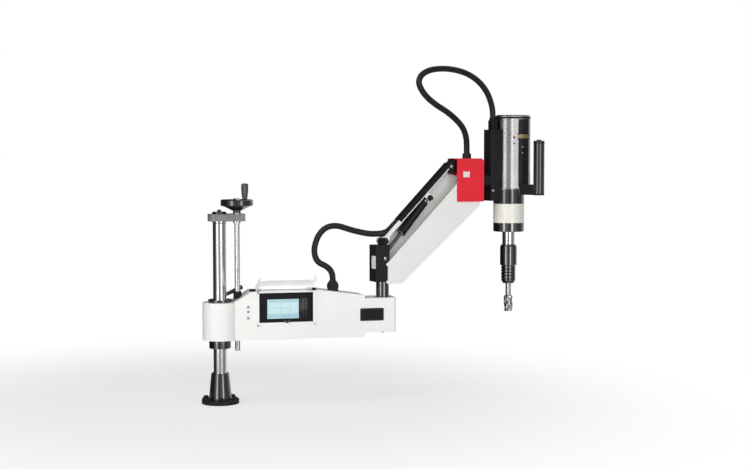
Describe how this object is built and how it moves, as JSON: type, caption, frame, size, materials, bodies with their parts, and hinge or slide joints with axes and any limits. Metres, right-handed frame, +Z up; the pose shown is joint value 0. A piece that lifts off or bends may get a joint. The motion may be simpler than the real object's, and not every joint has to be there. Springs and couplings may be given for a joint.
{
  "type": "arm tapping machine",
  "caption": "Column-mounted tapping arm: a hand-wound beam with a touch screen carries a strut-balanced parallel arm, a tilting head and a servo tapping spindle.",
  "frame": {"origin": "centre of the base flange's underside, on the column's axis", "axes": "+Z up the column, +X along the beam away from the column, +Y to the rear, away from the touch screen"},
  "size_m": [1.3703, 0.3475, 1.2867],
  "materials": {
    "socket_black": "gloss",
    "ground_steel": "polished",
    "dark_steel": "satin",
    "bright_steel": "satin",
    "hammered_grey": "hammered",
    "wheel_black": "gloss",
    "white_paint": "satin",
    "black_plastic": "matte",
    "black_paint": "satin",
    "red_paint": "satin",
    "bronze": "satin",
    "screen_glass": "gloss",
    "clear_cover": "frosted",
    "lamp_grey": "gloss",
    "motor_black": "gloss",
    "cream_paint": "satin",
    "drive_grey": "matte",
    "rubber_black": "matte",
    "tap_steel": "ground"
  },
  "bodies": {
    "stand": {"base_flange": "black_paint", "column_socket": "socket_black", "column": "ground_steel", "bearing_cap": "dark_steel", "cap_bolt": "dark_steel"},
    "bracket": {"top_bracket": "hammered_grey", "bracket_bushes": "bright_steel"},
    "screw": {"lead_screw": "bright_steel", "handwheel": "wheel_black", "grip_axle": "bright_steel"},
    "grip": {"crank_grip": "wheel_black"},
    "beam": {"hub_housing": "white_paint", "guide_bushes": "bronze", "lower_collar": "socket_black", "clamp_collar": "socket_black", "beam_housing": "white_paint", "rear_cover": "white_paint", "housing_screws": "bright_steel", "beam_frame": "dark_steel", "lift_nut": "bronze", "servo_drive": "drive_grey", "screen_tray": "black_plastic", "touch_screen": "screen_glass", "screen_frame": "white_paint", "cover_hinge": "bright_steel", "indicator_lamps": "lamp_grey", "cable_gland": "black_plastic", "end_housing": "white_paint", "post_bearings": "bright_steel", "lower_hose": "rubber_black"},
    "clamp": {"clamp_lever": "wheel_black"},
    "flap": {"screen_cover": "clear_cover"},
    "pivot": {"arm_post": "ground_steel", "post_bolt": "black_paint", "pivot_block": "black_paint", "pivot_pins": "dark_steel", "hose_tail": "rubber_black"},
    "lower_arm": {"lower_link": "white_paint", "lower_link_bushes": "bronze"},
    "upper_arm": {"upper_link": "white_paint", "arm_duct": "black_plastic"},
    "strut_tube": {"strut_cylinder": "black_paint"},
    "strut_shaft": {"strut_rod": "dark_steel"},
    "head": {"head_block": "red_paint", "head_clevis": "black_paint", "head_pins": "dark_steel", "upper_hose": "rubber_black"},
    "motor": {"motor_mount": "black_paint", "motor_connector": "black_plastic", "motor_housing": "motor_black", "gearbox_housing": "cream_paint", "gearbox_ring": "black_paint", "handle_bar": "black_plastic"},
    "button": {"handle_button": "lamp_grey"},
    "drive": {"spindle": "dark_steel", "chuck_body": "dark_steel", "tap_adapter": "bright_steel", "tap": "tap_steel"},
    "sleeve": {"chuck_sleeve": "dark_steel"},
    "rotor": {"motor_rotor": "dark_steel"}
  },
  "joints": [
    {"name": "bracket_swing", "type": "hinge", "parent": "stand", "child": "bracket", "pos_m": [0, 0, 0.7], "axis": [0, 0, 1], "range_deg": [-180, 180]},
    {"name": "beam_lift", "type": "slide", "parent": "bracket", "child": "beam", "axis": [0, 0, 1], "range_m": [-0.08, 0.24]},
    {"name": "screw_turn", "type": "hinge", "parent": "bracket", "child": "screw", "pos_m": [0.067, 0, 0.7], "axis": [0, 0, 1], "range_deg": [-7210, 21610]},
    {"name": "grip_spin", "type": "hinge", "parent": "screw", "child": "grip", "pos_m": [0.09105, -0.04003, 0.8], "axis": [0, 0, 1], "continuous": true},
    {"name": "clamp_turn", "type": "hinge", "parent": "beam", "child": "clamp", "pos_m": [0, 0.052, 0.394], "axis": [0, -1, 0], "range_deg": [0, 57]},
    {"name": "flap_hinge", "type": "hinge", "parent": "beam", "child": "flap", "pos_m": [0.235, -0.0555, 0.432], "axis": [1, 0, 0], "range_deg": [0, 112]},
    {"name": "arm_swivel", "type": "hinge", "parent": "beam", "child": "pivot", "pos_m": [0.635, 0, 0.3], "axis": [0, 0, 1], "range_deg": [-130, 130], "deforming": ["lower_hose"]},
    {"name": "arm_lift", "type": "hinge", "parent": "pivot", "child": "lower_arm", "pos_m": [0.67328, 0.00744, 0.482], "axis": [0.1908, -0.9816, 0], "range_deg": [-45, 6]},
    {"name": "upper_lift", "type": "hinge", "parent": "pivot", "child": "upper_arm", "pos_m": [0.635, 0, 0.606], "axis": [0.1908, -0.9816, 0], "range_deg": [-45, 6], "deforming": ["hose_tail"]},
    {"name": "head_level", "type": "hinge", "parent": "lower_arm", "child": "head", "pos_m": [0.95648, 0.06249, 0.7705], "axis": [0.1908, -0.9816, 0], "range_deg": [-6, 45]},
    {"name": "strut_shaft_turn", "type": "hinge", "parent": "pivot", "child": "strut_shaft", "pos_m": [0.63304, -0.00038, 0.54], "axis": [0.1908, -0.9816, 0], "range_deg": [-40, 6]},
    {"name": "strut_tube_turn", "type": "hinge", "parent": "upper_arm", "child": "strut_tube", "pos_m": [0.82574, 0.03708, 0.77175], "axis": [0.1908, -0.9816, 0], "range_deg": [-1, 6]},
    {"name": "head_tilt", "type": "hinge", "parent": "head", "child": "motor", "pos_m": [1.05415, 0.08148, 0.839], "axis": [0.9816, 0.1908, 0], "range_deg": [-90, 90], "deforming": ["upper_hose"]},
    {"name": "button_press", "type": "slide", "parent": "motor", "child": "button", "axis": [0, 0, -1], "range_m": [0, 0.003], "stiffness_N_per_m": 400, "springref_m": -0.001},
    {"name": "spindle_turn", "type": "hinge", "parent": "motor", "child": "drive", "pos_m": [1.18962, 0.10781, 0.6], "axis": [0, 0, 1], "continuous": true},
    {"name": "sleeve_slide", "type": "slide", "parent": "drive", "child": "sleeve", "axis": [0, 0, 1], "range_m": [0, 0.0015], "stiffness_N_per_m": 1500, "springref_m": -0.001},
    {"name": "rotor_turn", "type": "hinge", "parent": "motor", "child": "rotor", "pos_m": [1.18962, 0.10781, 0.9], "axis": [0, 0, 1], "continuous": true}
  ],
  "couplings": [
    {"joint": "screw_turn", "follows": "beam_lift", "rad_per_m": 1570.8},
    {"joint": "upper_lift", "follows": "arm_lift", "ratio": 1},
    {"joint": "head_level", "follows": "arm_lift", "ratio": -1},
    {"joint": "strut_shaft_turn", "follows": "arm_lift", "ratio": 0.87},
    {"joint": "strut_tube_turn", "follows": "arm_lift", "ratio": -0.13},
    {"joint": "rotor_turn", "follows": "spindle_turn", "ratio": 5}
  ]
}
